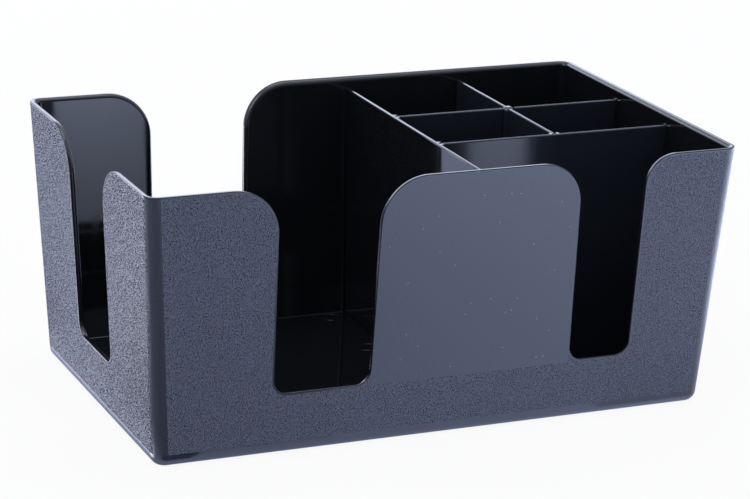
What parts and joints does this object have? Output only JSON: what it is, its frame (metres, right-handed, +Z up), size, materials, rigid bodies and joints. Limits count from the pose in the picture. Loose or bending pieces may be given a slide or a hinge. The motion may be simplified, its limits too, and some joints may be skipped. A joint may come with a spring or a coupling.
{
  "type": "bar caddy",
  "caption": "Open moulded plastic bar caddy: leaning notched walls, a wide napkin bay, a front compartment and small cells between lift-out divider plates.",
  "frame": {"origin": "on the table, under the middle of the tub", "axes": "+X right along the front, +Y from the front to the back, +Z up"},
  "size_m": [0.2412, 0.147, 0.1062],
  "materials": {
    "tub_plastic": "black plastic, fine leather grain outside, smooth on the front tongue, gloss inside",
    "divider_plastic": "black plastic, gloss from a polished mould"
  },
  "bodies": {
    "tub": {"tub": "tub_plastic"},
    "bay_divider": {"bay_divider": "divider_plastic"},
    "front_divider": {"front_divider": "divider_plastic"},
    "middle_divider": {"middle_divider": "divider_plastic"},
    "cross_divider": {"cross_divider": "divider_plastic"}
  },
  "joints": [
    {"name": "bay_divider_lift", "type": "slide", "parent": "tub", "child": "bay_divider", "axis": [0, 0, 1], "range_m": [0, 0.105]},
    {"name": "front_divider_lift", "type": "slide", "parent": "tub", "child": "front_divider", "axis": [0, 0, 1], "range_m": [0, 0.105]},
    {"name": "middle_divider_lift", "type": "slide", "parent": "tub", "child": "middle_divider", "axis": [0, 0, 1], "range_m": [0, 0.105]},
    {"name": "cross_divider_lift", "type": "slide", "parent": "middle_divider", "child": "cross_divider", "axis": [0, 0, 1], "range_m": [0, 0.105]}
  ]
}
